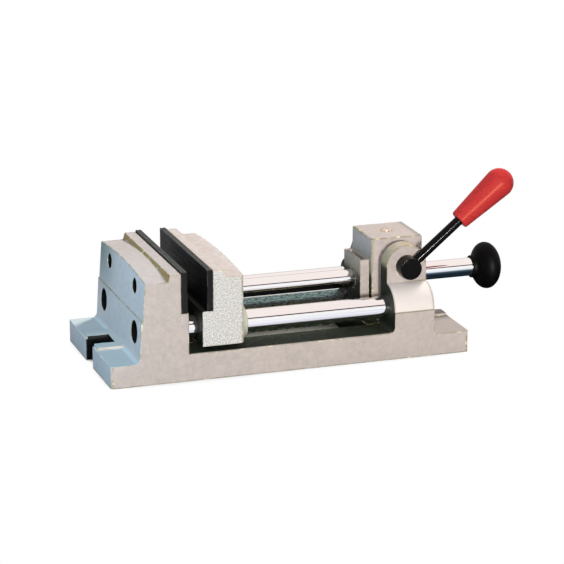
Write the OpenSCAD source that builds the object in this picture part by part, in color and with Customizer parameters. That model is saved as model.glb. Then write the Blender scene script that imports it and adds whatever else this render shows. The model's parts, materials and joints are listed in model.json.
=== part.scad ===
// Quick-action machine vise: a fixed jaw cast with the base, a moving jaw on two
// guide rods, and a lever head at the rear that locks the pull shaft.
// X runs from the fixed jaw to the palm knob, Z is up, and the origin is the
// centre of the whole vise on the plane it stands on.

/* [Base] */
// Width of the base and of both jaws
jaw_width = 100; // [96:1:110]
// Length of the base casting
base_length = 224; // [220:1:230]
// Thickness of the two slotted feet
foot_height = 13.4; // [12:0.2:16]
// Height of the bed between the jaws and the bracket
bed_height = 16.4; // [15:0.2:18]
// Width of the clamping slot in each foot
slot_width = 15.8; // [10:0.2:18]
// Depth of the clamping slot from the end of the foot
slot_depth = 13.8; // [10:0.2:15]

/* [Jaws] */
// Opening between the jaw plates as stored
jaw_gap = 12; // [4.5:0.5:60]
// Thickness of a hardened jaw plate
plate_thickness = 3.6; // [3:0.1:5]
// Height of the flat strip behind each plate
jaw_height = 65.5; // [64:0.5:68]
// Height where the plate pocket begins
pocket_height = 41.5; // [40:0.5:44]
// How far the step under the fixed plate stands in front of it
fixed_step = 0.9; // [0:0.1:1]
// How far the step under the moving plate stands in front of it
moving_step = 2.8; // [0:0.1:3]
// Thickness of the moving jaw from front to back
moving_jaw_depth = 18.9; // [16:0.1:24]

/* [Rods] */
// Diameter of the two guide rods
rod_diameter = 13.4; // [12:0.1:14]
// Height of the guide rods above the ground
rod_height = 28.7; // [27:0.1:30]
// Distance of each guide rod from the middle
rod_offset = 34.7; // [33:0.1:36]
// Diameter of the pull shaft
shaft_diameter = 11.4; // [10:0.1:12.6]
// Height of the pull shaft above the ground
shaft_height = 38.2; // [38:0.1:39]

/* [Lever] */
// Elevation of the lever as stored, from the knob end
lever_angle = 39.7; // [0:0.1:90]
// Distance from the cam axis to the tip of the grip
lever_length = 83.8; // [70:0.1:120]
// Largest diameter of the grip
grip_diameter = 17.8; // [14:0.2:24]
// Diameter of the lever rod
lever_rod_diameter = 5.9; // [5:0.1:6.6]
// Eccentricity of the cam
cam_throw = 1; // [0.5:0.1:1]

/* [Knob] */
// Diameter of the palm knob
knob_diameter = 29.2; // [24:0.2:36]
// Length of the palm knob with its neck
knob_thickness = 19.2; // [18.5:0.1:24]

/* [Hidden] */

$fn = 96;
fine = 0.02;               // radial gap of a fixed fit
running = 0.05;            // radial gap of a running fit
cut = 1;                   // how far a cutter passes a face

half_width = jaw_width / 2;

// Fixed jaw, in distances from the left end of the base
jaw_foot_x = 17.7;         // outer face at the foot
jaw_top_x = 21.8;          // outer face at the top
fixed_face_x = 43.2;       // pocket wall behind the fixed plate
fixed_front_x = fixed_face_x + plate_thickness + fixed_step;
strip_width = 7;           // flat strip behind a plate
strip_slope = 1.6;         // run of the strip's sloping back
boss_height = 38.8;        // top of the thicker rod boss on the outer face
boss_lean = 2;             // how far the boss leans inward over its height
boss_step = 0.6;
foot_fillet = 3.2;

// The jaw tops crown across their width
crown_height = 64;
crown_radius = 480;

// Moving jaw
moving_plate_x = fixed_face_x + plate_thickness + jaw_gap;
moving_face_x = moving_plate_x + plate_thickness;
moving_back_x = moving_face_x + moving_jaw_depth;
moving_front_x = moving_plate_x - moving_step;
moving_bottom = 20;
plate_top = jaw_height + 1;
screw_y = 28.2;
screw_z = 54.7;
cap_head_radius = 4.1;
cap_head_height = 5;
cap_pocket_radius = 4.4;
cap_shank_radius = 2.5;
hex_radius = 2.2;
fixed_head_x = 33;         // seat of the fixed plate's screw heads
moving_head_x = moving_back_x - 6;

// Rods and shaft
rod_radius = rod_diameter / 2;
shaft_radius = shaft_diameter / 2;
rod_start_x = 28;
rod_end_x = 198;
bush_wall = 1.9;
bush_flange_radius = 9.4;
bush_flange = 4.4;
shaft_start_x = moving_back_x - 13;
knob_face_x = 245.2;
stud_radius = 3;
pin_radius = 2.5;
pin_x = moving_back_x - 7;

// Rear bracket
bracket_x = 176;
bracket_end_x = 201.8;
cheek_inner = 25;
cheek_outer = 35;
near_shoulder = 14.5;
far_shoulder = 11.3;
far_boss = 8;              // round end of the far cheek
window_start_x = 58;
window_end_x = 166;
rail_width = 22;
corner_fillet = 3.5;
pad_width = 34;
pad_rise = 1.8;
set_screw_radius = 2.5;
set_screw_length = 9;

// Clamp head
head_x = 173;
head_end_x = 206;
head_half = 18;
head_draft = 1.1;          // how much each side leans in at the top
slack = 0.3;               // gap between moving faces
head_bottom = bed_height + slack;
head_top = 66.6;
cam_x = (bracket_x + bracket_end_x) / 2;
cam_z = 53.2;
journal_radius = 6.5;      // near journal of the cam shaft
cam_radius = 5.5;
far_radius = 4.5;          // far journal, which passes through the head's slot
cam_swing = 80;            // turn of the lever from released to clamped
cam_rest = 90 - cam_swing / 2;
cam_play = 0.08;
cheek_bush_wall = 2;
bush_lip = 1.5;            // wall of the near cheek in front of its bush
head_bush_wall = 2.4;
head_bush_length = 9;
housing_x = 166.8;
housing_half = 13.9;
housing_top = 53.2;
housing_bottom = 21;
plate_slot = 2.2;
plate_slot_x = housing_x + 2;
lock_thickness = 1.5;
lock_screw_radius = 2;
lock_screw_y = 9;
lock_screw_z = housing_bottom + 3.5;
spring_z = shaft_height + shaft_radius + head_bush_wall + 2.9;
lock_top = spring_z + 2.2;
spring_radius = 1.7;
spring_wire = 0.7;
spring_pocket = 7;
spring_turns = 5;
cup_radius = 2.95;

// Lever
hub_radius = 6.7;
hub_face_y = -35.1;
hub_length = 8.4;
lever_y = -38.6;           // middle plane of the rod and the grip
spigot_radius = 3.4;
spigot_length = 6;
grip_start = 41.6;
clip_y = 39.6;
washer_radius = 6.6;
groove = 0.9;

knob_end_x = knob_face_x + knob_thickness;
overall_length = knob_end_x;

// Puts a shape given from the left end of the base into the vise's frame
module in_frame() { translate([-overall_length / 2, 0, 0]) children(); }

// A cylinder along X from x0 to x1
module rod_x(x0, x1, y, z, r) {
    translate([x0, y, z]) rotate([0, 90, 0]) cylinder(h = x1 - x0, r = r);
}

// A cylinder along Y from y0 to y1
module rod_y(y0, y1, x, z, r) {
    translate([x, y0, z]) rotate([-90, 0, 0]) cylinder(h = y1 - y0, r = r);
}

// A block between two corners
module block(low, high) { translate(low) cube(high - low); }

// An XZ outline drawn across the width from y0 to y1
module across(y0, y1) {
    translate([0, y1, 0]) rotate([90, 0, 0]) linear_extrude(height = y1 - y0) children();
}

// Both sides of the vise
module both_sides() {
    children();
    mirror([0, 1, 0]) children();
}

// Points of an arc in the XZ plane
function arc(cx, cz, r, a0, a1, steps = 8) =
    [for (i = [0:steps]) let (a = a0 + (a1 - a0) * i / steps) [cx + r * cos(a), cz + r * sin(a)]];

// Keeps what lies under the crowned top of a jaw
module crowned() {
    intersection() {
        children();
        rod_x(0, 120, 0, crown_height - crown_radius, crown_radius, $fn = 720);
    }
}

// A socket cap screw along X: dir is 1 when the shank points to +X
module cap_screw(x_seat, y, z, length, dir) {
    translate([x_seat, y, z]) mirror([dir < 0 ? 1 : 0, 0, 0]) difference() {
        union() {
            rod_x(-cap_head_height, 0, 0, 0, cap_head_radius);
            rod_x(0, length, 0, 0, cap_shank_radius);
        }
        rod_x(-cap_head_height - cut, -cap_head_height + 2.6, 0, 0, hex_radius, $fn = 6);
    }
}

module fixed_jaw_body() {
    boss_x = jaw_foot_x + boss_lean;
    outer = concat(
        arc(jaw_foot_x - foot_fillet, foot_height + foot_fillet, foot_fillet, -90, 0),
        [[boss_x - boss_step, boss_height], [boss_x, boss_height]]);
    crowned() across(-half_width, half_width)
        polygon(concat([[0, 0]], [[0, foot_height]], outer, [
            [jaw_top_x, plate_top],
            [fixed_face_x, plate_top],
            [fixed_face_x, pocket_height],
            [fixed_front_x, pocket_height],
            [fixed_front_x, 0]]));
    across(-half_width, half_width) polygon([
        [fixed_face_x, pocket_height],
        [fixed_face_x, jaw_height],
        [fixed_face_x - strip_width, jaw_height],
        [fixed_face_x - strip_width - strip_slope, crown_height - 5],
        [fixed_face_x - strip_width - strip_slope, pocket_height]]);
}

// The round shoulder over a guide rod with the wall under its cheek
module shoulder(r) {
    rod_x(bracket_x, bracket_end_x, -rod_offset, rod_height, r);
    block([bracket_x, -rod_offset, bed_height], [bracket_end_x, -cheek_inner, rod_height + r]);
}

module near_cheek() {
    block([bracket_x, -cheek_outer, rod_height], [bracket_end_x, -cheek_inner, cam_z]);
    rod_y(-cheek_outer, -cheek_inner, cam_x, cam_z, cam_x - bracket_x);
}

// The sides of the far cheek are tangent to its boss and spread to the whole bracket
module far_cheek() {
    reach = cam_x - bracket_x;
    foot = rod_height + far_shoulder;
    drop = cam_z - foot;
    turn = atan2(drop, reach) - acos(far_boss / norm([reach, drop]));
    side = far_boss * cos(turn);
    touch_z = cam_z - far_boss * sin(turn);
    rod_y(cheek_inner, cheek_outer, cam_x, cam_z, far_boss);
    across(cheek_inner, cheek_outer) polygon([
        [bracket_x, rod_height], [bracket_end_x, rod_height], [bracket_end_x, foot],
        [cam_x + side, touch_z], [cam_x - side, touch_z], [bracket_x, foot]]);
}

module bracket_body() {
    far_y = rod_offset + far_shoulder;
    across(-half_width, far_y) polygon(concat(
        arc(bracket_x - corner_fillet, bed_height + corner_fillet, corner_fillet, -90, 0),
        [[bracket_x, rod_height], [bracket_end_x, rod_height], [bracket_end_x, 0],
         [bracket_x - corner_fillet, 0]]));
    block([bracket_x, far_y - cut, 0], [bracket_end_x, half_width, bed_height]);
    shoulder(near_shoulder);
    mirror([0, 1, 0]) shoulder(far_shoulder);
    near_cheek();
    far_cheek();
}

// A raised pad round a slot
module slot_pad(x0, x1) {
    block([x0, -pad_width / 2, 0], [x1, pad_width / 2, foot_height + pad_rise]);
}

module slot_cut(x0, x1) {
    block([x0, -slot_width / 2, -cut], [x1, slot_width / 2, foot_height + pad_rise + cut]);
}

module base_casting() {
    color("gainsboro") in_frame() difference() {
        union() {
            fixed_jaw_body();
            block([0, -half_width, 0], [bracket_x, half_width, foot_height]);
            block([fixed_face_x, -half_width, 0], [bracket_x, half_width, bed_height]);
            block([bracket_x, -half_width, 0], [base_length, half_width, foot_height]);
            slot_pad(1, jaw_foot_x + boss_lean);
            slot_pad(bracket_end_x - cut, base_length - 1);
            bracket_body();
        }
        slot_cut(-cut, slot_depth);
        slot_cut(base_length - slot_depth, base_length + cut);
        block([window_start_x, rail_width - half_width, -cut],
              [window_end_x, half_width - rail_width, bed_height + cut]);
        block([bracket_x - corner_fillet - cut, -cheek_inner, bed_height],
              [bracket_end_x + cut, cheek_inner, head_top]);
        rod_y(-cheek_outer - cut, -cheek_inner, cam_x, cam_z, journal_radius + running);
        rod_y(-cheek_outer + bush_lip, -cheek_inner + cut, cam_x, cam_z,
              journal_radius + cheek_bush_wall + fine);
        rod_y(cheek_inner - cut, cheek_outer + cut, cam_x, cam_z,
              far_radius + cheek_bush_wall + fine);
        both_sides() {
            rod_x(jaw_foot_x - 8, rod_end_x + fine, -rod_offset, rod_height, rod_radius + fine);
            rod_x(jaw_foot_x - 2, fixed_head_x, -screw_y, screw_z, cap_pocket_radius);
            rod_x(fixed_head_x - cut, fixed_face_x + cut, -screw_y, screw_z, cap_shank_radius + 0.3);
            for (x = [rod_start_x + 8, cam_x])
                translate([x, -rod_offset, -cut])
                    cylinder(h = rod_height, r = set_screw_radius + fine);
        }
    }
}

// A plate with two tapped holes that open to the back
module jaw_plate(x0, back_x) {
    difference() {
        block([x0, -half_width, pocket_height], [x0 + plate_thickness, half_width, plate_top]);
        both_sides() rod_x(back_x - 3, back_x + 3, -screw_y, screw_z, cap_shank_radius + fine);
    }
}

module fixed_jaw_plate() { color("dimgray") in_frame() jaw_plate(fixed_face_x, fixed_face_x); }

module moving_jaw_plate() { color("dimgray") in_frame() jaw_plate(moving_plate_x, moving_face_x); }

module fixed_plate_screws() {
    color("black") in_frame() both_sides()
        cap_screw(fixed_head_x, -screw_y, screw_z, fixed_face_x + 2.9 - fixed_head_x, 1);
}

module moving_plate_screws() {
    color("black") in_frame() both_sides()
        cap_screw(moving_head_x, -screw_y, screw_z, moving_head_x - moving_face_x + 2.9, -1);
}

module guide_rod(y) {
    color("silver") in_frame() translate([rod_start_x, y, rod_height]) rotate([0, 90, 0])
        rotate_extrude() polygon([
            [0, 0], [rod_radius - 1, 0], [rod_radius, 1],
            [rod_radius, rod_end_x - rod_start_x - 1],
            [rod_radius - 1, rod_end_x - rod_start_x], [0, rod_end_x - rod_start_x]]);
}

module guide_rod_near() { guide_rod(-rod_offset); }

module guide_rod_far() { guide_rod(rod_offset); }

module rod_set_screws() {
    top = rod_height - rod_radius;
    color("black") in_frame() both_sides() for (x = [rod_start_x + 8, cam_x])
        translate([x, -rod_offset, top - set_screw_length]) difference() {
            cylinder(h = set_screw_length, r = set_screw_radius);
            translate([0, 0, -cut]) cylinder(h = 3 + cut, r = 1.4, $fn = 6);
        }
}

// A bush from y0 to y1 for a journal of radius r
module cam_bush(y0, y1, r) {
    difference() {
        rod_y(y0, y1, cam_x, cam_z, r + cheek_bush_wall);
        rod_y(y0 - cut, y1 + cut, cam_x, cam_z, r + running);
    }
}

module cam_bushes() {
    color("goldenrod") in_frame() {
        cam_bush(-cheek_outer + bush_lip, -cheek_inner, journal_radius);
        cam_bush(cheek_inner, cheek_outer, far_radius);
    }
}

module moving_jaw() {
    color("whitesmoke") in_frame() difference() {
        union() {
            crowned() across(-half_width, half_width) polygon([
                [moving_front_x, moving_bottom],
                [moving_front_x, pocket_height],
                [moving_face_x, pocket_height], [moving_face_x, plate_top],
                [moving_back_x, plate_top], [moving_back_x, moving_bottom]]);
            across(-half_width, half_width) polygon([
                [moving_face_x, pocket_height], [moving_face_x, jaw_height],
                [moving_face_x + strip_width, jaw_height],
                [moving_face_x + strip_width + strip_slope, crown_height - 5],
                [moving_face_x + strip_width + strip_slope, pocket_height]]);
        }
        both_sides() {
            rod_x(moving_front_x - cut, moving_back_x + cut, -rod_offset, rod_height,
                  rod_radius + bush_wall + fine);
            rod_x(moving_head_x, moving_back_x + cut, -screw_y, screw_z, cap_pocket_radius);
            rod_x(moving_face_x - cut, moving_back_x, -screw_y, screw_z, cap_shank_radius + 0.3);
        }
        rod_x(shaft_start_x, moving_back_x + cut, 0, shaft_height, shaft_radius + fine);
        translate([pin_x, 0, moving_bottom - cut])
            cylinder(h = shaft_height + cut - moving_bottom + shaft_radius + 4, r = pin_radius + fine);
    }
}

// Flanged bushes at the back of the moving jaw and plain ones at the front
module rod_bushes() {
    mid_x = (moving_front_x + moving_back_x) / 2;
    color("wheat") in_frame() both_sides() difference() {
        union() {
            rod_x(moving_front_x, mid_x - 1.5, -rod_offset, rod_height, rod_radius + bush_wall);
            rod_x(mid_x + 1.5, moving_back_x + 0.1, -rod_offset, rod_height, rod_radius + bush_wall);
            rod_x(moving_back_x, moving_back_x + bush_flange, -rod_offset, rod_height,
                  bush_flange_radius);
        }
        rod_x(moving_front_x - cut, moving_back_x + bush_flange + cut, -rod_offset, rod_height,
              rod_radius + running);
    }
}

module pull_shaft() {
    color("silver") in_frame() difference() {
        rod_x(shaft_start_x + fine, knob_face_x, 0, shaft_height, shaft_radius);
        rod_x(knob_face_x - 16, knob_face_x + cut, 0, shaft_height, stud_radius + fine);
        translate([pin_x, 0, shaft_height - 10]) cylinder(h = 20, r = pin_radius + fine);
    }
}

module shaft_pin() {
    color("gray") in_frame() translate([pin_x, 0, moving_bottom + 2])
        cylinder(h = shaft_height + shaft_radius + 2 - moving_bottom, r = pin_radius);
}

module knob_stud() {
    color("gray") in_frame() rod_x(knob_face_x - 15.5, knob_face_x + 9, 0, shaft_height, stud_radius);
}

// A neck of constant radius that runs into an elliptical body
module palm_knob() {
    r = knob_diameter / 2;
    neck = 7;
    half_depth = 8.7;
    middle = knob_thickness - half_depth;
    first = -acos(neck / r);
    color("black") in_frame() translate([knob_face_x, 0, shaft_height]) rotate([0, 90, 0])
        difference() {
            rotate_extrude() polygon(concat(
                [[0, 0], [neck, 0]],
                [for (i = [0:20]) let (a = first + (90 - first) * i / 20)
                    [r * cos(a), middle + half_depth * sin(a)]]));
            translate([0, 0, -cut]) cylinder(h = 10 + cut, r = stud_radius + fine);
        }
}

// The slot that the eccentric fills across, with room for it to rise
module cam_slot() {
    x = cam_x + cam_throw * cos(cam_rest);
    low = cam_z + cam_throw * sin(cam_rest);
    high = cam_z + cam_throw;
    r = cam_radius + cam_play;
    for (z = [low, high]) rod_y(-head_half - cut, head_half + cut, x, z, r);
    block([x - r, -head_half - cut, low], [x + r, head_half + cut, high]);
}

module head_body() {
    top_half = head_half - head_draft;
    translate([head_x, 0, 0]) rotate([90, 0, 90]) linear_extrude(height = head_end_x - head_x)
        polygon([[-head_half, head_bottom], [head_half, head_bottom],
                 [top_half, head_top], [-top_half, head_top]]);
}

module clamp_head() {
    color("gainsboro") in_frame() difference() {
        head_body();
        rod_x(head_x - cut, head_end_x + cut, 0, shaft_height, shaft_radius + 0.4);
        for (x = [head_x - cut, head_end_x - head_bush_length - 3])
            rod_x(x, x + head_bush_length + (x < head_x ? cut : 0), 0, shaft_height,
                  shaft_radius + head_bush_wall + fine);
        rod_x(head_end_x - 2.5, head_end_x + cut, 0, shaft_height, shaft_radius + 3.4 + fine);
        cam_slot();
        rod_x(head_x - cut, head_x + spring_pocket, 0, spring_z, spring_radius + 0.6);
        translate([cam_x, 0, cam_z]) cylinder(h = 40, r = 1);
        translate([cam_x, 0, head_top - 4]) cylinder(h = 4 + cut, r = cup_radius + fine);
        both_sides() rod_x(head_x - cut, head_x + 10, -lock_screw_y, lock_screw_z,
                           lock_screw_radius + fine);
    }
}

// The lip around the shaft that holds the lock plate in front of the head
module lock_housing() {
    color("gainsboro") in_frame() difference() {
        block([housing_x, -housing_half, housing_bottom], [head_x, housing_half, housing_top]);
        rod_x(housing_x - cut, head_x + cut, 0, shaft_height, shaft_radius + 0.6);
        block([plate_slot_x, -11.2, housing_bottom + 6],
              [plate_slot_x + plate_slot, 11.2, housing_top + cut]);
        rod_x(plate_slot_x, head_x + cut, 0, spring_z, spring_radius + 0.6);
        both_sides() {
            rod_x(housing_x - cut, head_x + cut, -lock_screw_y, lock_screw_z,
                  lock_screw_radius + 0.3);
            rod_x(housing_x - cut, housing_x + 2.2, -lock_screw_y, lock_screw_z, 3.4);
        }
    }
}

module lock_housing_screws() {
    color("black") in_frame() both_sides() difference() {
        union() {
            rod_x(housing_x + 0.2, housing_x + 2.2, -lock_screw_y, lock_screw_z, 3.2);
            rod_x(housing_x + 2.2, head_x + 9, -lock_screw_y, lock_screw_z, lock_screw_radius);
        }
        rod_x(housing_x - cut, housing_x + 1.4, -lock_screw_y, lock_screw_z, 1.5, $fn = 6);
    }
}

// The plate tips on its rounded lower edge
module lock_plate() {
    half = 10.8;
    edge = lock_thickness / 2;
    x0 = plate_slot_x + plate_slot - lock_thickness - 0.1;
    edge_z = housing_bottom + 6.4 + edge;
    color("slategray") in_frame() difference() {
        union() {
            block([x0, -half, edge_z], [x0 + lock_thickness, half, lock_top]);
            rod_y(-half, half, x0 + edge, edge_z, edge);
        }
        rod_x(x0 - cut, x0 + lock_thickness + cut, 0, shaft_height, shaft_radius + 0.35);
    }
}

// Centre line of the spring, wound along X
function coil_point(angle, x) = [x, spring_radius * cos(angle), spring_radius * sin(angle)];

// Direction round the wire, b degrees from the spring's axis
function coil_side(angle, b) = [cos(b), sin(b) * cos(angle), sin(b) * sin(angle)];

module lock_spring() {
    sides = 8;
    rings = 60;
    wire = spring_wire / 2;
    x0 = plate_slot_x + plate_slot + wire;
    length = head_x + spring_pocket - x0 - spring_wire;
    points = [for (i = [0:rings])
        for (k = [0:sides - 1])
            let (angle = 360 * spring_turns * i / rings)
                coil_point(angle, length * i / rings) + wire * coil_side(angle, 360 * k / sides)];
    walls = [for (i = [0:rings - 1])
        for (k = [0:sides - 1])
            let (n = (k + 1) % sides)
                [i * sides + k, i * sides + n, (i + 1) * sides + n, (i + 1) * sides + k]];
    ends = [[for (k = [sides - 1:-1:0]) k], [for (k = [0:sides - 1]) rings * sides + k]];
    color("silver") in_frame() translate([x0, 0, spring_z]) polyhedron(points, concat(walls, ends));
}

module shaft_bushes() {
    color("goldenrod") in_frame() for (x = [head_x, head_end_x - head_bush_length - 3]) difference() {
        rod_x(x, x + head_bush_length, 0, shaft_height, shaft_radius + head_bush_wall);
        rod_x(x - cut, x + head_bush_length + cut, 0, shaft_height, shaft_radius + running);
    }
}

module shaft_wiper() {
    color("black") in_frame() difference() {
        rod_x(head_end_x - 2.5 + fine, head_end_x + 0.3, 0, shaft_height, shaft_radius + 3.4);
        rod_x(head_end_x - 4, head_end_x + cut, 0, shaft_height, shaft_radius + 0.1);
    }
}

module oil_cup() {
    color("goldenrod") in_frame() translate([cam_x, 0, head_top - 4 + fine]) difference() {
        cylinder(h = 4.3, r = cup_radius);
        translate([0, 0, 5.6]) sphere(r = 2.3);
        translate([0, 0, -cut]) cylinder(h = 3 + cut, r = 1);
    }
}

// Journals in the cheeks with an eccentric between them
module cam_shaft() {
    near = -cheek_outer;
    far = clip_y + 2.4;
    color("silver") in_frame() difference() {
        union() {
            rod_y(near, -head_half, cam_x, cam_z, journal_radius);
            rod_y(-head_half, head_half, cam_x + cam_throw * cos(cam_rest),
                  cam_z + cam_throw * sin(cam_rest), cam_radius);
            rod_y(head_half, far, cam_x, cam_z, far_radius);
            rod_y(near - spigot_length, near, cam_x, cam_z, spigot_radius);
        }
        difference() {
            rod_y(clip_y, clip_y + 1.1, cam_x, cam_z, far_radius + cut);
            rod_y(clip_y - cut, clip_y + 2, cam_x, cam_z, far_radius - groove);
        }
        hub_pin_hole();
    }
}

// The lever's own frame: X along the rod, Y along the cam axis
module in_lever() {
    in_frame() translate([cam_x, lever_y, cam_z]) rotate([0, -lever_angle, 0]) children();
}

// The cross pin lies square to the rod and to the cam axis
module hub_pin_shape(r) {
    half = hub_radius - 0.6;
    translate([cam_x, lever_y, cam_z]) rotate([0, -lever_angle, 0])
        translate([0, 0, -half]) cylinder(h = 2 * half, r = r);
}

module hub_pin_hole() { hub_pin_shape(1 + fine); }

module hub_pin() { color("gray") in_frame() hub_pin_shape(1); }

module lever_hub() {
    rod_r = lever_rod_diameter / 2;
    color("black") difference() {
        in_frame() rod_y(hub_face_y - hub_length, hub_face_y, cam_x, cam_z, hub_radius);
        in_frame() rod_y(hub_face_y - spigot_length, hub_face_y + cut, cam_x, cam_z,
                         spigot_radius + fine);
        in_frame() hub_pin_hole();
        in_lever() rod_x(spigot_radius + 0.4, hub_radius + 2, 0, 0, rod_r + fine);
    }
}

module lever_rod() {
    color("black") in_lever()
        rod_x(spigot_radius + 0.6, lever_length - 14, 0, 0, lever_rod_diameter / 2);
}

module lever_grip() {
    tip = grip_diameter / 2;
    base = 6;
    body = lever_length - grip_start - tip;
    color("crimson") in_lever() difference() {
        translate([grip_start, 0, 0]) rotate([0, 90, 0]) rotate_extrude() polygon(concat(
            [[0, 0], [base - 0.6, 0], [base, 0.6]],
            [for (i = [0:12]) let (a = -6 + 96 * i / 12) [tip * cos(a), body + tip * sin(a)]]));
        rod_x(grip_start - cut, lever_length - 13.8, 0, 0, lever_rod_diameter / 2 + fine);
    }
}

module cam_washer() {
    color("silver") in_frame() difference() {
        rod_y(cheek_outer + 0.1, clip_y - 0.1, cam_x, cam_z, washer_radius);
        rod_y(cheek_outer - cut, clip_y + cut, cam_x, cam_z, far_radius + fine);
    }
}

// A retaining ring open at the bottom
module cam_clip() {
    color("dimgray") in_frame() difference() {
        rod_y(clip_y + fine, clip_y + 1.1 - fine, cam_x, cam_z, far_radius + 1.8);
        rod_y(clip_y - cut, clip_y + 2, cam_x, cam_z, far_radius - groove + fine);
        block([cam_x - 2, clip_y - cut, cam_z - 12], [cam_x + 2, clip_y + 2, cam_z]);
    }
}

base_casting();
fixed_jaw_plate();
fixed_plate_screws();
guide_rod_near();
guide_rod_far();
rod_set_screws();
cam_bushes();
moving_jaw();
moving_jaw_plate();
moving_plate_screws();
rod_bushes();
pull_shaft();
shaft_pin();
knob_stud();
palm_knob();
clamp_head();
lock_housing();
lock_housing_screws();
lock_plate();
lock_spring();
shaft_bushes();
shaft_wiper();
oil_cup();
cam_shaft();
lever_hub();
hub_pin();
lever_rod();
lever_grip();
cam_washer();
cam_clip();
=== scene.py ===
"""Looks of the quick-action machine vise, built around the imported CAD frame."""
import json
import math

import bmesh
import bpy
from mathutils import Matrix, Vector

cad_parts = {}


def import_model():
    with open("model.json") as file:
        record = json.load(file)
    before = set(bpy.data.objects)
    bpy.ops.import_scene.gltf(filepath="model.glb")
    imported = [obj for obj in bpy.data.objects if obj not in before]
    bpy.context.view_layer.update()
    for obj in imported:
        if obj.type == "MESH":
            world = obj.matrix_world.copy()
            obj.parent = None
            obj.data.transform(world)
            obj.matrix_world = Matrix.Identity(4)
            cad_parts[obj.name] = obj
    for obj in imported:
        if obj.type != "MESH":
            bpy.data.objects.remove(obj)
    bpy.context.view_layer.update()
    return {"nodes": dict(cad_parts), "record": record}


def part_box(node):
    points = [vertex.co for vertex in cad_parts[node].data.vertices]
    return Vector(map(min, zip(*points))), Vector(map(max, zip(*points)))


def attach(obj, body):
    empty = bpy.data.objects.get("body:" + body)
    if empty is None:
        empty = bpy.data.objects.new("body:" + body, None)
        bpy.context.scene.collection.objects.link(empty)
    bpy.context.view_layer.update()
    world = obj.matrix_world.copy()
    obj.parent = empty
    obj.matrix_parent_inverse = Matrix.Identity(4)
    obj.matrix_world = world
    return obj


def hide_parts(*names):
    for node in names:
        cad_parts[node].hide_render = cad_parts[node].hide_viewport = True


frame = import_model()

MM = 0.001
BOX = {name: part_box(name) for name in frame["nodes"]}
LEFT_END = BOX["base_casting"][0][0]    # X of the left end of the base


def from_left(x):
    """Millimetres from the left end of the base as a coordinate in metres."""
    return LEFT_END + x * MM


def measured(node):
    """A CAD node's lowest and highest corners in the millimetres of the places below."""
    return [((x - LEFT_END) / MM, y / MM, z / MM) for x, y, z in BOX[node]]


def middle(node):
    """The middle of a CAD node's box in the same millimetres."""
    return [(low + high) / 2 for low, high in zip(*measured(node))]


# Places on the vise in millimetres: X from the left end of the base, Y from the
# middle plane, the same on both sides, and Z from the table
BASE_LENGTH, HALF_WIDTH = measured("base_casting")[1][:2]
SLOT_DEPTH = 13.8                        # of the open slots in the feet
SLOT_Y = 7.9                             # sides of the slots
JAW_FOOT_X = 17.7                        # outer face of the fixed jaw at its foot
BED_Z = 16.4                             # top of the bed
WINDOW_Y = 28                            # sides of the window in the bed
POCKET_Z = measured("fixed_jaw_plate")[0][2]    # lower end of the pockets for the jaw plates
JAW_BACK_X = measured("moving_jaw")[1][0]
SCREW_BORE = (28.2, 54.7, 4.4)           # Y, Z and radius of the plate screws' counterbores
ROD_Y, ROD_Z = middle("guide_rod_far")[1:]
ROD_BORE = (ROD_Y, ROD_Z, 6.72)
REAR_X = 160                             # beyond it are only the bed, the bracket and the head
BRACKET_X, BRACKET_END = 176, 201.8      # front and back of the bracket
CHEEK_INNER, CHEEK_OUTER = 25, 35        # sides of a cheek
SHOULDER_TOP = ROD_Z + 14.5              # the near shoulder is round about its rod
CAM_Z = middle("cam_washer")[2]          # the cheeks' tops are round about the cam shaft


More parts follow.
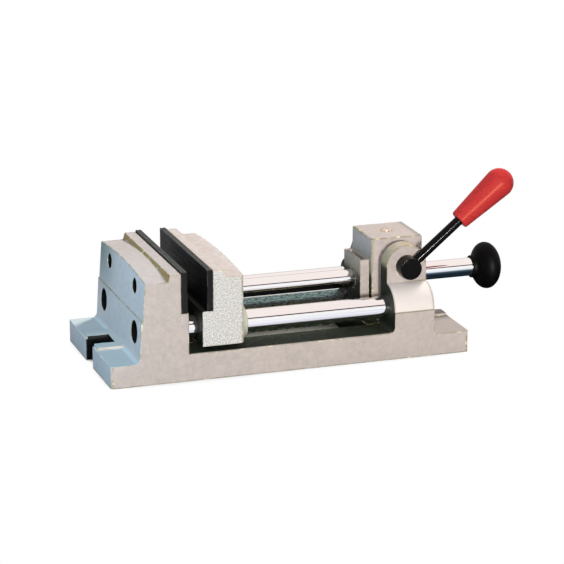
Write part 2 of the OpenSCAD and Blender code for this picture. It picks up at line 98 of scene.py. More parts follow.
# ---------------------------------------------------------------- node helpers
class Nodes:
    """A node tree with short calls to add and join nodes."""

    def __init__(self, tree):
        self.tree = tree

    def add(self, kind, **values):
        node = self.tree.nodes.new(kind)
        for key, value in values.items():
            setattr(node, key, value)
        return node

    def join(self, source, target):
        self.tree.links.new(source, target)

    def put(self, value, socket):
        """Feeds a socket from another socket, a number or a colour."""
        if hasattr(value, "is_linked"):
            self.join(value, socket)
        elif isinstance(value, (int, float)):
            socket.default_value = value
        else:
            socket.default_value = tuple(value) + (1,)

    def math(self, operation, a, b=0.0):
        node = self.add("ShaderNodeMath", operation=operation)
        self.put(a, node.inputs[0])
        self.put(b, node.inputs[1])
        return node.outputs[0]

    def ramp(self, source, stops):
        """A colour ramp; stops are (position, colour or grey)."""
        node = self.add("ShaderNodeValToRGB")
        elements = node.color_ramp.elements
        while len(elements) < len(stops):
            elements.new(0.5)
        for element, (place, colour) in zip(elements, stops):
            element.position = place
            grey = isinstance(colour, (int, float))
            element.color = (colour,) * 3 + (1,) if grey else tuple(colour) + (1,)
        self.join(source, node.inputs["Fac"])
        return node.outputs["Color"]

    def mix(self, factor, a, b):
        node = self.add("ShaderNodeMix", data_type="RGBA")
        self.put(factor, node.inputs[0])
        self.put(a, node.inputs[6])
        self.put(b, node.inputs[7])
        return node.outputs[2]

    def tint(self, colour, mask, amount, tone):
        """Lays tone over colour where mask is 1, as thick as amount."""
        return self.mix(self.math("MULTIPLY", mask, amount), colour, tone)

    def step(self, source, low, high):
        """0 below low, 1 above high and smooth between; swapped limits turn it over."""
        node = self.add("ShaderNodeMapRange", interpolation_type="SMOOTHSTEP")
        self.join(source, node.inputs["Value"])
        node.inputs["From Min"].default_value = min(low, high)
        node.inputs["From Max"].default_value = max(low, high)
        node.inputs["To Min"].default_value = 0.0 if low < high else 1.0
        node.inputs["To Max"].default_value = 1.0 if low < high else 0.0
        return node.outputs["Result"]

    def product(self, first, *others):
        for other in others:
            first = self.math("MULTIPLY", first, other)
        return first

    def largest(self, first, *others):
        for other in others:
            first = self.math("MAXIMUM", first, other)
        return first

    def glow(self, kind, colour):
        """An emission or a background shader."""
        node = self.add(kind)
        self.put(colour, node.inputs["Color"])
        return node.outputs[0]

    def for_rays(self, kind, shader, otherwise):
        """One shader for a kind of ray, such as Is Camera Ray, and another for the rest."""
        node = self.add("ShaderNodeMixShader")
        self.join(self.add("ShaderNodeLightPath").outputs[kind], node.inputs[0])
        self.join(otherwise, node.inputs[1])
        self.join(shader, node.inputs[2])
        return node.outputs[0]


class Shader(Nodes):
    """A material with object-space textures."""

    def __init__(self, name):
        self.material = bpy.data.materials.new(name)
        self.material.use_nodes = True
        super().__init__(self.material.node_tree)
        self.bsdf = self.tree.nodes["Principled BSDF"]
        self.place = self.add("ShaderNodeTexCoord").outputs["Object"]
        split = self.add("ShaderNodeSeparateXYZ")
        self.join(self.place, split.inputs[0])
        self.x, self.y, self.z = split.outputs
        normal = self.add("ShaderNodeSeparateXYZ")
        self.join(self.add("ShaderNodeNewGeometry").outputs["Normal"], normal.inputs[0])
        self.nx, self.ny, self.nz = normal.outputs

    def constant(self, **values):
        for key, value in values.items():
            self.bsdf.inputs[key.replace("_", " ")].default_value = value

    def noise(self, scale, detail=3.0, roughness=0.55, distortion=0.0, stretch=(1, 1, 1)):
        """Noise over the object's own coordinates; scale is in cells per metre."""
        mapping = self.add("ShaderNodeMapping")
        mapping.inputs["Scale"].default_value = stretch
        self.join(self.place, mapping.inputs["Vector"])
        node = self.add("ShaderNodeTexNoise")
        node.inputs["Scale"].default_value = scale
        node.inputs["Detail"].default_value = detail
        node.inputs["Roughness"].default_value = roughness
        node.inputs["Distortion"].default_value = distortion
        self.join(mapping.outputs["Vector"], node.inputs["Vector"])
        return node.outputs["Fac"]

    def edges(self):
        """1 on the rounded edges that rounded() made, 0 elsewhere."""
        return self.add("ShaderNodeAttribute", attribute_name="rounded_edge").outputs["Fac"]

    def aside(self):
        """The distance from the middle plane, in metres."""
        return self.math("ABSOLUTE", self.y)

    def inside(self, source, low, high, soft):
        """1 from low to high, fading to 0 over soft on either side, in metres."""
        return self.product(self.step(source, low - soft, low), self.step(source, high + soft, high))

    def bore(self, y, z, radius):
        """1 inside the two bores along X that lie at y on either side, in millimetres."""
        off_y = self.math("SUBTRACT", self.aside(), y * MM)
        off_z = self.math("SUBTRACT", self.z, z * MM)
        square = self.math("ADD", self.math("POWER", off_y, 2.0), self.math("POWER", off_z, 2.0))
        return self.step(self.math("SQRT", square), (radius + 0.25) * MM, radius * MM)

    def colour(self, socket):
        self.join(socket, self.bsdf.inputs["Base Color"])

    def roughness(self, socket):
        self.join(socket, self.bsdf.inputs["Roughness"])

    def bump(self, *layers):
        """Bump layers as (height socket, distance in metres, strength)."""
        previous = None
        for height, distance, strength in layers:
            node = self.add("ShaderNodeBump")
            node.inputs["Distance"].default_value = distance
            node.inputs["Strength"].default_value = strength
            self.join(height, node.inputs["Height"])
            if previous:
                self.join(previous, node.inputs["Normal"])
            previous = node.outputs["Normal"]
        self.join(previous, self.bsdf.inputs["Normal"])


# ------------------------------------------------------------------- materials
OLIVE = (0.27, 0.23, 0.11)
CREAM = (0.80, 0.70, 0.46)
# painted highlight for edges that catch the light
GOLD_HIGHLIGHT = (0.42, 0.34, 0.12)
# painted cool shade for the far top of the fixed jaw's outer face
COOL_SHADE = (0.13, 0.16, 0.14)
# painted brown shade for the slope behind the fixed jaw's flat strip
BROWN_SHADE = (0.27, 0.155, 0.045)
# near-black painted shade for hollows, gaps and shaded faces
PAINTED_SHADE = (0.008, 0.012, 0.007)
# black painted shade for holes, slots and what lies under the base
BLACK_SHADE = (0.006, 0.006, 0.006)


def worn_edges(s, colour, strength=0.6):
    """Thin olive lines along the edges with a few cream spots."""
    line = s.product(s.edges(), s.step(s.noise(150, detail=3), 0.34, 0.56))
    colour = s.tint(colour, line, strength, OLIVE)
    spot = s.product(line, s.step(s.noise(230, detail=2), 0.56, 0.68))
    return s.mix(spot, colour, CREAM)


def facing_left(s, start, top, bottom):
    """1 on what faces left beyond start and below bottom, fading to 0 at top, in millimetres."""
    return s.product(s.step(s.x, from_left(start), from_left(start + 1)), s.step(s.nx, -0.35, -0.75),
                     s.step(s.z, top * MM, bottom * MM))


def plain_paint(s, mottle):
    """Warm grey paint with paler patches and fine dark specks."""
    colour = s.ramp(mottle, [(0.30, (0.40, 0.356, 0.330)), (0.66, (0.510, 0.450, 0.415))])
    patches = s.step(s.noise(30, detail=3), 0.42, 0.68)
    colour = s.tint(colour, patches, 0.4, (0.545, 0.485, 0.45))
    specks = s.step(s.noise(1500, detail=2), 0.30, 0.20)
    return s.mix(specks, colour, (0.30, 0.27, 0.24))


def fixed_jaw_shade(s, colour):
    """Painted shade: teal at the far top of the outer face and brown on the slope behind the flat strip."""
    plate_x = BOX["fixed_jaw_plate"][0][0]
    outer = s.product(s.step(s.x, plate_x - 18 * MM, plate_x - 20 * MM), s.step(s.nx, -0.3, -0.8),
                      s.step(s.y, 5 * MM, HALF_WIDTH * MM), s.step(s.z, 24 * MM, 60 * MM))
    # painted teal shade where the cool light falls off on the outer face
    colour = s.tint(colour, outer, 0.9, COOL_SHADE)
    slope = s.product(s.inside(s.x, plate_x - 9 * MM, plate_x - 6.6 * MM, 0.3 * MM),
                      s.step(s.nx, -0.2, -0.5), s.step(s.z, 58 * MM, 60 * MM))
    # painted brown shade on the slope behind the flat strip
    return s.tint(colour, slope, 0.95, BROWN_SHADE)


def bracket_tints(s, colour):
    """Painted olive shade on the fronts of the head and the bracket, and mottled olive-beige on the cheeks'
    round tops.
    """
    # painted shade on the left-facing fronts, which the jaws keep from the cool light
    shaded_fronts = facing_left(s, REAR_X, 66, 40)
    colour = s.tint(colour, shaded_fronts, 0.8, (0.165, 0.155, 0.095))
    # mottled olive-beige over the cheeks' round tops
    across = s.inside(s.aside(), (CHEEK_INNER + 0.4) * MM, (CHEEK_OUTER - 0.4) * MM, 0.4 * MM)
    tops = s.product(across, s.step(s.z, (CAM_Z - 3.2) * MM, (CAM_Z + 0.8) * MM),
                     s.step(s.x, from_left(BRACKET_X - 2), from_left(BRACKET_X - 1)),
                     s.step(s.noise(420, detail=4), 0.30, 0.56))
    return s.tint(colour, tops, 0.8, (0.40, 0.33, 0.19))


def bed_painted_shade(s, colour):
    """Painted shade on the bed between the jaw and the bracket, with a painted highlight along the window's
    edges.
    """
    speckle = s.noise(430, detail=4, roughness=0.75)
    near = s.mix(s.step(speckle, 0.48, 0.68), PAINTED_SHADE, (0.034, 0.050, 0.027))
    far = s.mix(s.step(speckle, 0.40, 0.62), (0.012, 0.020, 0.020), (0.20, 0.31, 0.30))
    bay_shade = s.mix(s.step(s.y, (WINDOW_Y - 2) * MM, (WINDOW_Y - 1) * MM), near, far)
    jaw_x = BOX["fixed_jaw_plate"][1][0]
    bay = s.product(s.inside(s.x, jaw_x, from_left(BRACKET_X - 0.6), 0.5 * MM),
                    s.step(s.z, (BED_Z + 1.2) * MM, (BED_Z + 0.6) * MM),
                    s.step(s.aside(), (HALF_WIDTH - 0.7) * MM, (HALF_WIDTH - 2) * MM))
    # painted shade over the bay, where the rods and jaws shadow the bed
    colour = s.mix(bay, colour, bay_shade)
    rim = s.inside(s.aside(), (WINDOW_Y - 0.3) * MM, (WINDOW_Y + 0.5) * MM, 0.2 * MM)
    painted_light = s.product(bay, rim, s.step(s.z, (BED_Z - 1) * MM, (BED_Z - 0.5) * MM),
                     s.step(s.noise(300, detail=2), 0.36, 0.5))
    # painted highlight along the window's top edges
    return s.mix(painted_light, colour, GOLD_HIGHLIGHT)


def shaded_faces(s):
    """1 low on the fronts of the head, bracket and near cheek, and under the fixed jaw's plate: where shade
    is painted.
    """
    shaded_fronts = facing_left(s, REAR_X, 47, 41)
    cheek = s.product(facing_left(s, BRACKET_X - 1, 57, 51), s.step(s.y, 0.0, -20 * MM))
    jaw_x = BOX["fixed_jaw_plate"][1][0]
    under_plate = s.product(s.inside(s.x, jaw_x - 1 * MM, jaw_x + 13.2 * MM, 1 * MM),
                            s.step(s.z, (POCKET_Z + 1.5) * MM, (POCKET_Z - 0.5) * MM),
                            s.step(s.nx, 0.4, 0.8))
    return s.largest(shaded_fronts, cheek, under_plate)


def flat_tints(s, colour):
    """A painted cool shade on the left foot, a darker right foot and a painted highlight on the near
    shoulder.
    """
    up = s.step(s.nz, 0.4, 0.8)
    left_foot = s.product(s.step(s.x, from_left(JAW_FOOT_X + 1.3), from_left(JAW_FOOT_X - 1.7)), up)
    # painted bluish shade, where the fixed jaw blocks the top light from the right
    colour = s.tint(colour, left_foot, 0.7, (0.45, 0.53, 0.53))
    right_foot = s.product(s.step(s.x, from_left(BRACKET_END + 0.2), from_left(BRACKET_END + 1.2)), up)
    colour = s.tint(colour, right_foot, 0.75, (0.30, 0.275, 0.255))
    # painted highlight on the near shoulder's round top
    shoulder = s.product(s.step(s.x, from_left(BRACKET_X), from_left(BRACKET_X + 1.5)),
                         s.step(s.x, from_left(BRACKET_END - 0.3), from_left(BRACKET_END - 1.8)),
                         s.step(s.y, -(CHEEK_OUTER + 0.2) * MM, -(CHEEK_OUTER + 1) * MM),
                         s.inside(s.z, (ROD_Z + 0.5) * MM, (SHOULDER_TOP + 1.8) * MM, 0.4 * MM))
    return s.tint(colour, shoulder, 0.85, (0.80, 0.74, 0.70))


def open_holes(s):
    """1 in the bores of the fixed jaw's outer face and in the slots of the feet, which are painted black as
    shade.
    """
    outer_face = s.step(s.x, from_left(40), from_left(30))
    bores = s.product(outer_face, s.largest(s.bore(*SCREW_BORE), s.bore(*ROD_BORE)))
    half_length = BASE_LENGTH / 2
    slot_end = half_length - SLOT_DEPTH
    from_centre = s.math("ABSOLUTE", s.math("SUBTRACT", s.x, from_left(half_length)))
    slots = s.product(s.step(s.aside(), (SLOT_Y + 0.2) * MM, (SLOT_Y + 0.05) * MM),
                      s.step(from_centre, (slot_end - 0.2) * MM, (slot_end - 0.1) * MM))
    return s.largest(bores, slots)


def casting_paint():
    """Sprayed warm grey paint over a sand casting, with painted shade in its holes and its bed."""
    s = Shader("casting_paint")
    mottle = s.noise(330, detail=5, roughness=0.7)
    colour = plain_paint(s, mottle)
    colour = fixed_jaw_shade(s, colour)
    colour = bracket_tints(s, colour)
    colour = bed_painted_shade(s, colour)
    colour = worn_edges(s, colour)
    # painted shade on the low fronts and in the gap under the fixed jaw's plate
    colour = s.mix(shaded_faces(s), colour, PAINTED_SHADE)
    colour = flat_tints(s, colour)
    # the holes and slots painted black as shade
    s.colour(s.mix(open_holes(s), colour, BLACK_SHADE))
    s.constant(Metallic=0.0, Specular_IOR_Level=0.10)
    s.roughness(s.ramp(mottle, [(0.3, 0.46), (0.7, 0.60)]))
    s.bump((s.noise(700, detail=2), 0.22 * MM, 0.35), (s.noise(90, detail=2), 0.5 * MM, 0.20))
    return s.material


def hammered_silver():
    """The moving jaw: silver speckle on its sides, smooth paint on top and a darker back, patchy low down.
    """
    s = Shader("hammered_silver")
    speckle = s.noise(1100, detail=3, roughness=0.7)
    side = s.ramp(speckle, [(0.36, (0.34, 0.335, 0.315)), (0.50, (0.54, 0.53, 0.505)),
                            (0.64, (0.73, 0.715, 0.685))])
    top = s.ramp(s.noise(260, detail=4), [(0.32, (0.51, 0.45, 0.415)), (0.66, (0.615, 0.55, 0.51))])
    colour = s.mix(s.step(s.nz, 0.35, 0.75), side, top)
    faces_back = s.step(s.nx, 0.80, 0.97)
    back = s.mix(s.step(s.noise(60, detail=4), 0.35, 0.65), (0.30, 0.27, 0.23), (0.44, 0.39, 0.35))
    colour = s.mix(faces_back, colour, back)
    # darker in patches towards the bottom of the back
    low_patches = s.product(faces_back, s.step(s.z, 44 * MM, 14 * MM), s.step(s.noise(150, detail=4), 0.30, 0.60))
    colour = s.mix(low_patches, colour, (0.035, 0.040, 0.028))
    colour = worn_edges(s, colour, 0.35)
    plate_back = BOX["moving_jaw_plate"][1][0]
    under_plate = s.product(s.step(s.x, plate_back + 1 * MM, plate_back),
                            s.step(s.z, (POCKET_Z + 1.5) * MM, (POCKET_Z + 0.5) * MM),
                            s.step(s.aside(), (HALF_WIDTH - 0.4) * MM, (HALF_WIDTH - 0.8) * MM))
    # painted shade on the front face under the plate, in the gap between the jaws
    colour = s.mix(under_plate, colour, PAINTED_SHADE)
    screws = s.product(s.bore(*SCREW_BORE),
                       s.step(s.x, from_left(JAW_BACK_X - 12), from_left(JAW_BACK_X - 11)))
    # the screws' counterbores painted black as shade
    s.colour(s.mix(screws, colour, BLACK_SHADE))
    s.constant(Metallic=0.0, Specular_IOR_Level=0.15)
    s.roughness(s.ramp(speckle, [(0.3, 0.60), (0.7, 0.44)]))
    s.bump((speckle, 0.16 * MM, 0.5), (s.noise(160), 0.4 * MM, 0.2))
    return s.material


def metal(name, tint, low, high, metallic=1.0):
    """A bare metal with fine scratches drawn along X; low and high are its roughness range."""
    s = Shader(name)
    streaks = s.noise(1400, detail=4, roughness=0.7, stretch=(0.04, 1, 1))
    cloud = s.noise(70, detail=2)
    s.colour(s.mix(s.ramp(cloud, [(0.35, 0), (0.7, 0.22)]), tint, tuple(c * 0.86 for c in tint)))
    s.constant(Metallic=metallic)
    s.roughness(s.ramp(streaks, [(0.35, low), (0.68, high)]))
    s.bump((streaks, 0.05 * MM, 0.05))
    return s.material


def hard_chrome():
    """Polished plating: the reflections stay clean and only their gloss varies."""
    s = Shader("hard_chrome")
    haze = s.noise(45, detail=3, stretch=(0.3, 1, 1))
    s.colour(s.ramp(haze, [(0.3, (0.95, 0.94, 0.94)), (0.7, (0.90, 0.89, 0.90))]))
    s.constant(Metallic=1.0)
    s.roughness(s.ramp(haze, [(0.3, 0.035), (0.7, 0.06)]))
    return s.material


def bush_flange():
    """Pale machined flanges behind the jaw; the plain ends in front of it get painted shade."""
    s = Shader("bush_flange")
    turned = s.noise(900, detail=3, stretch=(1, 0.1, 0.1))
    pale = s.ramp(turned, [(0.35, (0.36, 0.36, 0.29)), (0.65, (0.50, 0.50, 0.41))])
    in_front = s.step(s.x, from_left(JAW_BACK_X - 5), from_left(JAW_BACK_X - 9))
    # painted shade on the bush ends inside the jaw and in the gap between the jaws
    s.colour(s.mix(in_front, pale, PAINTED_SHADE))
    s.constant(Metallic=0.0, Specular_IOR_Level=0.2)
    s.roughness(s.ramp(turned, [(0.35, 0.45), (0.65, 0.62)]))
    s.bump((turned, 0.05 * MM, 0.1))
    return s.material


def blackened_plate():
    """Ground and blackened steel of the jaw plates, with a painted grey reflection on the top faces."""
    s = Shader("blackened_plate")
    lines = s.noise(900, detail=3, roughness=0.7, stretch=(1, 0.03, 1))
    cloud = s.noise(45, detail=3)
    colour = s.ramp(cloud, [(0.35, (0.003, 0.003, 0.0035)), (0.7, (0.007, 0.007, 0.0075))])
    painted_light = s.ramp(s.noise(300, detail=3), [(0.35, (0.034, 0.036, 0.033)), (0.65, (0.070, 0.072, 0.066))])
    # painted grey reflection on the plates' top faces
    colour = s.mix(s.step(s.nz, 0.5, 0.9), colour, painted_light)
    worn = s.math("MULTIPLY", s.edges(), s.ramp(s.noise(240), [(0.45, 0.0), (0.65, 0.35)]))
    s.colour(s.mix(worn, colour, (0.16, 0.15, 0.11)))
    s.constant(Metallic=0.0, Specular_IOR_Level=0.05)
    s.roughness(s.ramp(lines, [(0.35, 0.42), (0.7, 0.60)]))
    s.bump((lines, 0.05 * MM, 0.12))
    return s.material


def gloss(name, base, dark, low, high, specular, tint=(1, 1, 1, 1), peel=0.04):
    """Moulded plastic or rubber with faint flow marks, fine scuffs and an uneven skin.

    low and high are its roughness range, and tint colours its highlights.
    """
    s = Shader(name)
    flow = s.noise(55, detail=2, distortion=0.6)
    scuff = s.noise(900, detail=4, roughness=0.7)
    s.colour(s.mix(s.ramp(flow, [(0.3, 0.0), (0.75, 1.0)]), base, dark))
    s.constant(Metallic=0.0, Specular_IOR_Level=specular, Specular_Tint=tint)
    s.roughness(s.ramp(scuff, [(0.4, low), (0.75, high)]))
    s.bump((s.noise(300, detail=1), 0.08 * MM, peel))
    return s.material


def lever_enamel():
    """Black enamel of the hub and the rod, with a painted copper glint on the hub's top rim."""
    s = Shader("black_enamel")
    axis_x, _, axis_z = middle("lever_hub")
    flow = s.noise(70, detail=2)
    colour = s.ramp(flow, [(0.3, (0.002, 0.002, 0.002)), (0.7, (0.005, 0.004, 0.004))])
    # painted copper highlight on the top of the hub's rounded rim
    painted_glint = s.product(s.edges(), s.step(s.noise(1300, detail=3), 0.54, 0.62),
                       s.step(s.z, (axis_z + 1) * MM, (axis_z + 5) * MM),
                       s.step(s.x, from_left(axis_x + 4), from_left(axis_x)))
    s.colour(s.mix(painted_glint, colour, (0.34, 0.20, 0.13)))
    s.constant(Metallic=0.0, Specular_IOR_Level=0.08)
    s.roughness(s.ramp(s.noise(220, detail=2), [(0.4, 0.12), (0.75, 0.16)]))
    return s.material


MATERIALS = {
    "paint": casting_paint(),
    "jaw_casting": hammered_silver(),
    "black_plate": blackened_plate(),
    "black_screw": metal("black_oxide", (0.020, 0.020, 0.022), 0.34, 0.52, metallic=0.6),
    "chrome": hard_chrome(),
    "steel": metal("machined_steel", (0.56, 0.56, 0.57), 0.22, 0.38),
    "bronze": metal("bush_bronze", (0.62, 0.42, 0.22), 0.28, 0.46),
    "bush_flange": bush_flange(),
    "brass": metal("copper_brass", (0.94, 0.74, 0.62), 0.12, 0.24),
    "black_gloss": gloss("black_plastic", (0.0015, 0.0015, 0.0015), (0.003, 0.0025, 0.0025), 0.48, 0.60,
                         specular=0.05),
    "black_steel": lever_enamel(),
    "rubber": gloss("wiper_rubber", (0.020, 0.020, 0.021), (0.030, 0.029, 0.028), 0.55, 0.75, specular=0.3),
    "red_grip": gloss("red_plastic", (0.53, 0.040, 0.038), (0.47, 0.033, 0.034), 0.30, 0.36,
                      specular=0.05, tint=(1.0, 0.55, 0.28, 1), peel=0.015),
}
SLOT_OF = {part["node"]: part["material_slot"] for part in frame["record"]["subparts"]}


# ---------------------------------------------------------------- mesh helpers
SHARP = math.radians(28)    # edges that turn by more than this are rounded
FLUSH = 0.01 * MM           # slack of what counts as lying in a plane


def dress(obj, slot_name):
    """Gives an object the material of its slot and no other."""
    obj.data.materials.clear()
    obj.data.materials.append(MATERIALS[slot_name])


def finish_piece(node, mesh, body):
    """Makes mesh an object that stands for a CAD node and rides on its body."""
    mesh.name = node + "_finished"
    piece = bpy.data.objects.new(mesh.name, mesh)
    bpy.context.scene.collection.objects.link(piece)
    dress(piece, SLOT_OF[node])
    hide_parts(node)
    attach(piece, body)


def merge_sides(bm):
    """Makes each of a casting's two flat sides, which have no holes, one face."""
    for side in (-HALF_WIDTH * MM, HALF_WIDTH * MM):
        flat = [f for f in bm.faces if all(abs(v.co.y - side) < FLUSH for v in f.verts)]
        bmesh.ops.dissolve_faces(bm, faces=flat, use_verts=False)


def direction(edge, v):
    """The unit vector along an edge from its vertex v."""
    return (edge.other_vert(v).co - v.co).normalized()


def room(edge):
    """The width up to which an edge can be rounded before it meets its neighbours, in metres.

    Two edges in the flat side of a casting don't limit each other.
    """
    width = 1.0
    for v in edge.verts:
        along = direction(edge, v)
        for other in v.link_edges:
            if other == edge or not set(other.link_faces) & set(edge.link_faces):
                continue
            if all(abs(abs(w.co.y) - HALF_WIDTH * MM) < FLUSH for w in (*edge.verts, *other.verts)):
                continue
            aside = other.other_vert(v).co - v.co
            across = aside.cross(along).length
            if aside.dot(along) > 0 or across > 0.5 * aside.length:
                width = min(width, 0.45 * across)
    return width


def even_out(widths):
    """Gives the edges that run on into each other the smallest of their widths."""
    runs_on = []
    for edge in widths:
        for v in edge.verts:
            for other in v.link_edges:
                if other in widths and direction(edge, v).dot(direction(other, v)) < -0.85:
                    runs_on.append((edge, other))
    changed = True
    while changed:
        changed = False
        for edge, other in runs_on:
            if widths[edge] < widths[other]:
                widths[other] = widths[edge]
                changed = True


def weight_edges(bm, width, wide):
    """Weights the sharp edges by the widths of their rounds and returns the largest, in metres."""
    weight = bm.edges.layers.float.new("bevel_weight_edge")
    widths = {}
    for edge in bm.edges:
        if edge.is_manifold and edge.calc_face_angle(0) > SHARP:
            ends = [((v.co.x - LEFT_END) / MM, v.co.y / MM, v.co.z / MM) for v in edge.verts]
            widths[edge] = min((wide(*ends) or width) * MM, room(edge))
    even_out(widths)
    largest = max(widths.values())
    for edge, value in widths.items():
        edge[weight] = value / largest
    return largest


def bevelled(mesh, width, segments):
    """A mesh like the given one with its weighted edges rounded; rounded_edge is 1 on the rounds."""
    for stale in ("custom_normal", "sharp_edge", "sharp_face"):
        if stale in mesh.attributes:
            mesh.attributes.remove(mesh.attributes[stale])
    mesh.shade_smooth()
    mesh.materials.append(None)
    mesh.materials.append(None)    # the second slot marks the rounds
    helper = bpy.data.objects.new("helper", mesh)
    bpy.context.scene.collection.objects.link(helper)
    bevel = helper.modifiers.new("bevel", "BEVEL")
    bevel.limit_method = "WEIGHT"
    bevel.width = width
    bevel.segments = segments
    bevel.use_clamp_overlap = False
    bevel.material = 1
    normals = helper.modifiers.new("normals", "WEIGHTED_NORMAL")
    normals.keep_sharp = True
    evaluated = helper.evaluated_get(bpy.context.evaluated_depsgraph_get())
    finished = bpy.data.meshes.new_from_object(evaluated)
    on_round = [float(face.material_index) for face in finished.polygons for _ in face.loop_indices]
    finished.materials.clear()
    mark = finished.attributes.new("rounded_edge", "FLOAT", "CORNER")
    mark.data.foreach_set("value", on_round)
    bpy.data.objects.remove(helper)
    return finished


def rounded(node, body, width, wide=lambda a, b: 0, segments=3, flat_sides=False):
    """Replaces a CAD node by its own shape with its sharp edges rounded to width, in mm.

    wide gives a larger width for an edge from its ends, in mm from the left end, or 0.
    """
    bm = bmesh.new()
    bm.from_mesh(frame["nodes"][node].data)
    bmesh.ops.remove_doubles(bm, verts=bm.verts, dist=0.002 * MM)
    bmesh.ops.dissolve_limit(bm, angle_limit=math.radians(0.3), verts=bm.verts, edges=bm.edges)
    if flat_sides:
        merge_sides(bm)
    largest = weight_edges(bm, width, wide)
    mesh = bpy.data.meshes.new(node + "_sharp")
    bm.to_mesh(mesh)
    bm.free()
    finish_piece(node, bevelled(mesh, largest, segments), body)


def lathe(profile):
    """A closed mesh turned about +X from (x, radius) points in metres; its ends lie on the axis."""
    segments = 96
    angles = [2 * math.pi * k / segments for k in range(segments)]
    bm = bmesh.new()
    rings = []
    for x, r in profile:
        if r == 0:
            rings.append([bm.verts.new((x, 0, 0))])
        else:
            rings.append([bm.verts.new((x, r * math.cos(a), r * math.sin(a))) for a in angles])
    for low, high in zip(rings, rings[1:]):
        for k in range(segments):
            n = (k + 1) % segments
            ring = [low[k % len(low)], low[n % len(low)], high[n % len(high)], high[k % len(high)]]
            bm.faces.new([v for i, v in enumerate(ring) if v not in ring[:i]])
    bmesh.ops.recalc_face_normals(bm, faces=bm.faces)
    mesh = bpy.data.meshes.new("turned")
    bm.to_mesh(mesh)
    bm.free()
    return mesh


# ---------------------------------------------------------------------- pieces
def same(a, b, value, slack=0.3):
    """True if a and b are both the value, within slack."""
    return abs(a - value) < slack and abs(b - value) < slack


def base_widths(a, b):
    """Wider rounds on the foot corners, the cheeks' outlines and the bracket's right side."""
    upright = same(a[0], b[0], a[0], 0.05) and same(a[1], b[1], a[1], 0.05)
    at_corner = (a[0] < 1 or a[0] > BASE_LENGTH - 1) and abs(a[1]) > HALF_WIDTH - 1
    if upright and at_corner:
        return 2.0
    bottom, top = sorted((a[2], b[2]))
    on_cheek = same(abs(a[1]), abs(b[1]), CHEEK_OUTER) and bottom > SHOULDER_TOP - 0.2
    in_bracket = BRACKET_X - 1 < a[0] < BRACKET_END + 1.2
    on_outline = a[0] < BRACKET_X + 1 or a[0] > BRACKET_END - 0.8 or a[2] > CAM_Z - 1.2
    if on_cheek and in_bracket and on_outline:
        return 1.4 if a[1] < 0 else 0.8
    on_shoulder = bottom > ROD_Z - 1.7 and top < SHOULDER_TOP + 0.3
    if same(a[0], b[0], BRACKET_END) and on_shoulder:
        return 1.5
    return 0


def jaw_widths(a, b):
    """Wider rounds on the moving jaw's two upright rear edges."""
    at_back = same(a[0], b[0], JAW_BACK_X) and same(abs(a[1]), abs(b[1]), HALF_WIDTH)
    return 1.8 if at_back else 0


def castings():
    rounded("base_casting", "base", 0.6, base_widths, flat_sides=True)
    rounded("moving_jaw", "moving_jaw", 0.6, jaw_widths, flat_sides=True)
    rounded("clamp_head", "clamp_head", 1.1)
    rounded("lock_housing", "clamp_head", 0.5)


def small_parts():
    rounded("fixed_jaw_plate", "base", 0.35, segments=2)
    rounded("moving_jaw_plate", "moving_jaw", 0.35, segments=2)
    rounded("rod_bushes", "moving_jaw", 0.4)
    rounded("lever_hub", "lever", 0.7)
    rounded("cam_washer", "lever", 0.3, segments=2)
    rounded("oil_cup", "clamp_head", 0.25)
    rounded("lever_grip", "lever", 0.5)
    rounded("cam_shaft", "lever", 0.25, segments=2)


def palm_knob():
    """The same knob with a small fillet between its neck and its body."""
    low, high = BOX["palm_knob"]
    axis_z = (low[2] + high[2]) / 2
    radius = (high[2] - low[2]) / 2
    neck = 7 * MM
    half_depth = 8.7 * MM
    centre = high[0] - half_depth
    steps = 48
    start = 0.09 - math.acos(neck / radius)    # just past where the body would cut the neck
    outline = [(low[0], 0), (low[0], neck - 0.4 * MM), (low[0] + 0.4 * MM, neck)]
    outline += [(low[0] + 1.9 * MM, neck), (low[0] + 2.4 * MM, neck + 0.15 * MM)]
    for i in range(steps):
        a = start + (math.pi / 2 - start) * i / steps
        outline.append((centre + half_depth * math.sin(a), radius * math.cos(a)))
    mesh = lathe(outline + [(high[0], 0)])
    for vertex in mesh.vertices:
        vertex.co.z += axis_z
    mesh.shade_smooth()
    mesh.set_sharp_from_angle(angle=math.radians(60))
    finish_piece("palm_knob", mesh, "moving_jaw")


def others():
    """CAD nodes whose shape is right keep it and take a finished material."""
    for name, obj in frame["nodes"].items():
        dress(obj, SLOT_OF[name])


others()
castings()
small_parts()
palm_knob()


# ---------------------------------------------------------- stage, light, camera
def area(name, place, target, size, power, colour):
    """A square area light that points from its place to the target."""
    light = bpy.data.lights.new(name, "AREA")
    light.size = size
    light.energy = power
    light.color = colour
    obj = bpy.data.objects.new(name, light)
    bpy.context.scene.collection.objects.link(obj)
    obj.location = place
    obj.rotation_euler = (Vector(target) - Vector(place)).to_track_quat("-Z", "Y").to_euler()
    return obj


def floor_seen(s):
    """The floor to look at: white, with a painted soft shade where the vise stands on it."""
    shade = s.add("ShaderNodeAmbientOcclusion", samples=16)
    shade.inputs["Distance"].default_value = 0.12
    return s.ramp(shade.outputs["AO"], [(0.20, 0.02), (0.36, (0.34, 0.335, 0.28)),
                                        (0.44, (0.44, 0.43, 0.37)), (0.51, 0.94), (0.58, 1.0)])


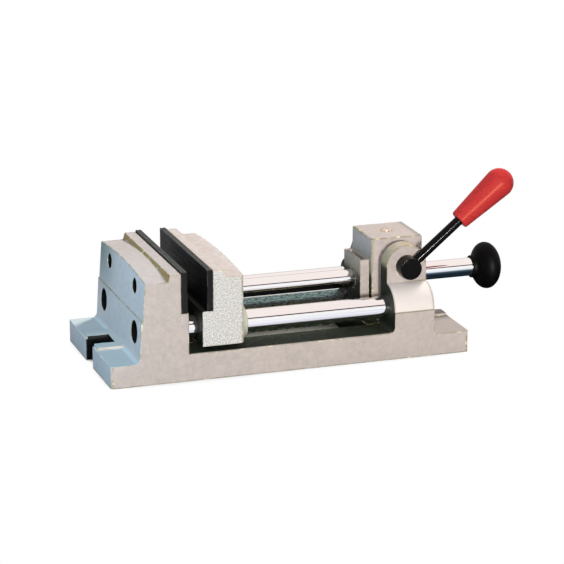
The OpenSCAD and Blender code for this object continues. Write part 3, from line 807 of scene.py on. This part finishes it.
def floor_reflected(s):
    """The floor in reflections, with painted shade: dark near the vise, white further off and black under
    the base.
    """
    reach = 200 * MM    # distance from the middle plane at which the ramps end
    away = s.math("MULTIPLY", s.aside(), 1 / reach)
    around = s.ramp(away, [(0.04, 0.01), (0.10, (0.09, 0.14, 0.19)), (0.22, (0.17, 0.23, 0.28)),
                           (0.28, (0.34, 0.40, 0.46)), (0.34, (0.74, 0.76, 0.86)),
                           (0.60, (0.93, 0.94, 1.0)), (1.0, 1.0)])
    right = s.ramp(away, [(0.16, (0.01, 0.02, 0.03)), (0.36, (0.07, 0.10, 0.13)),
                          (0.55, (0.20, 0.27, 0.34)), (0.80, (0.80, 0.86, 0.95))])
    past_end = s.step(s.x, from_left(BASE_LENGTH - 16), from_left(BASE_LENGTH - 2))
    low, high = BOX["base_casting"]
    shaded_under_base = s.product(s.inside(s.x, low[0], high[0] - 12 * MM, 6 * MM),
                        s.step(s.aside(), (HALF_WIDTH + 6) * MM, HALF_WIDTH * MM))
    # painted shade under the base, as reflections see it
    return s.mix(shaded_under_base, s.mix(past_end, around, right), BLACK_SHADE)


def floor():
    """A floor that the camera and the reflections see bright, but that throws little light up."""
    bm = bmesh.new()
    bmesh.ops.create_grid(bm, x_segments=1, y_segments=1, size=6)
    mesh = bpy.data.meshes.new("studio_floor")
    bm.to_mesh(mesh)
    bm.free()
    obj = bpy.data.objects.new("studio_floor", mesh)
    bpy.context.scene.collection.objects.link(obj)
    s = Shader("studio_floor")
    s.constant(Base_Color=(0.22, 0.22, 0.22, 1), Roughness=0.9, Specular_IOR_Level=0.0)
    seen = s.glow("ShaderNodeEmission", floor_seen(s))
    reflected = s.glow("ShaderNodeEmission", floor_reflected(s))
    surface = s.for_rays("Is Glossy Ray", reflected, otherwise=s.bsdf.outputs[0])
    surface = s.for_rays("Is Camera Ray", seen, otherwise=surface)
    s.join(surface, s.tree.nodes["Material Output"].inputs["Surface"])
    obj.data.materials.append(s.material)


def screens(n):
    """White screens around X with a dark gap above the front one, and a grey screen at the left."""
    split = n.add("ShaderNodeSeparateXYZ")
    n.join(n.add("ShaderNodeTexCoord").outputs["Generated"], split.inputs[0])
    x, y, z = split.outputs
    turn = n.math("DIVIDE", n.math("ARCTAN2", z, n.math("MULTIPLY", y, -1.0)), 2 * math.pi)
    turn = n.math("ADD", turn, 0.5)

    def at(degrees):
        """A height above the front horizon as a place in the ramp."""
        return degrees / 360 + 0.5

    white, pink, gap = (1.0, 1.0, 1.0), (1.0, 0.91, 0.87), (0.05, 0.012, 0.008)
    bands = n.ramp(turn, [(at(-90), white), (at(29.5), white), (at(32), gap), (at(40.5), gap),
                          (at(43), pink), (at(150), pink), (at(172), (0.55, 0.50, 0.50))])
    return n.mix(n.step(x, -0.45, -0.80), bands, (0.25, 0.36, 0.40))


def world():
    """Screens for the reflections, plain white for the camera and a faint cool light for the rest."""
    w = bpy.data.worlds.new("studio")
    bpy.context.scene.world = w
    w.use_nodes = True
    n = Nodes(w.node_tree)
    ambient = n.tree.nodes["Background"]
    ambient.inputs["Color"].default_value = (0.80, 0.92, 1.0, 1)
    ambient.inputs["Strength"].default_value = 0.05
    reflected = n.glow("ShaderNodeBackground", screens(n))
    plain = n.glow("ShaderNodeBackground", (0.98, 0.98, 0.98))
    surface = n.for_rays("Is Glossy Ray", reflected, otherwise=ambient.outputs[0])
    surface = n.for_rays("Is Camera Ray", plain, otherwise=surface)
    n.join(surface, n.tree.nodes["World Output"].inputs["Surface"])


def lights():
    """A low key and its glint from the front, a fill above them, a top light from behind at the
    right and a small cool light on the left; only the glint is seen in reflections."""
    centre = (0, 0, 0.04)
    key = area("key", (-0.28, -1.98, 0.43), centre, 0.22, 35.5, (1.0, 0.965, 0.94))
    glint = area("glint", (0.02, -2.0, 0.26), centre, 0.16, 100, (1.0, 0.98, 0.96))
    top = area("top", (0.68, 0.62, 1.12), centre, 0.3, 26, (1.0, 0.95, 0.93))
    cool = area("cool", (from_left(-180), -0.07, 0.135), (from_left(20), 0, 0.04), 0.1, 0.58,
                (0.39, 0.70, 1.0))
    fill = area("fill", (-0.70, -1.45, 1.10), centre, 0.5, 8, (1.0, 0.93, 0.86))
    for light in (key, top, cool, fill):
        light.visible_glossy = False
    glint.visible_diffuse = False


def camera():
    """The main view: a long lens from the left front."""
    azimuth, elevation = math.radians(-18.68), math.radians(16.36)
    distance = 1.4942
    target = Vector((-0.0107, 0, 0.0397))
    back = Vector((math.sin(azimuth) * math.cos(elevation),
                   -math.cos(azimuth) * math.cos(elevation), math.sin(elevation)))
    data = bpy.data.cameras.new("camera")
    data.sensor_width = 36
    data.lens = 156.7
    data.clip_start = 0.05
    obj = bpy.data.objects.new("camera", data)
    bpy.context.scene.collection.objects.link(obj)
    obj.location = target + back * distance
    obj.rotation_euler = (-back).to_track_quat("-Z", "Y").to_euler()
    bpy.context.scene.camera = obj


bpy.context.scene.view_settings.view_transform = "Standard"
floor()
world()
lights()
camera()
